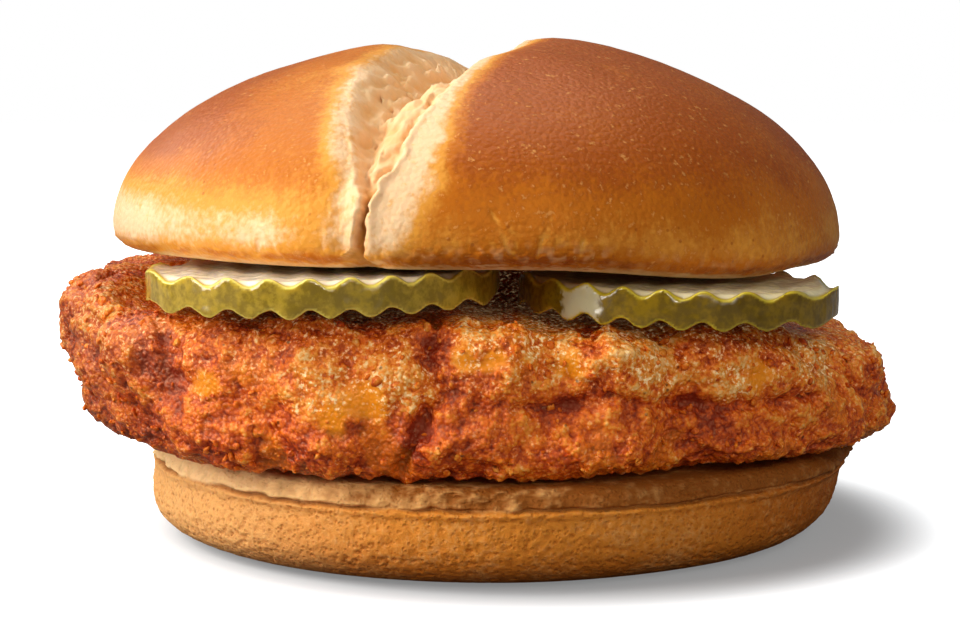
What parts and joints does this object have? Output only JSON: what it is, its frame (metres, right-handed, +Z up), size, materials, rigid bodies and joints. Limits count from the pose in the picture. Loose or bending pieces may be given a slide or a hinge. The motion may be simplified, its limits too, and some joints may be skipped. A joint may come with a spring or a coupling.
{
  "type": "chicken burger",
  "caption": "Fried chicken fillet with crinkle-cut pickle slices in a glossy bun whose top is split across.",
  "frame": {"origin": "centre of the bottom bun's flat underside", "axes": "+Z up, -Y towards the front that the pickles show at, +X to the right seen from the front, along the fillet"},
  "size_m": [0.1238, 0.1088, 0.0726],
  "materials": {
    "bun_crumb": "soft baked crust, matte",
    "fried_coating": "rough fried coating with an oily shine",
    "pickle": "wet and slightly clear",
    "bun_crust": "thin glazed crust with a soft shine"
  },
  "bodies": {
    "root": {"bottom_bun": "bun_crumb", "chicken_fillet": "fried_coating", "pickle_left": "pickle", "pickle_right": "pickle", "top_bun": "bun_crust"}
  },
  "joints": []
}
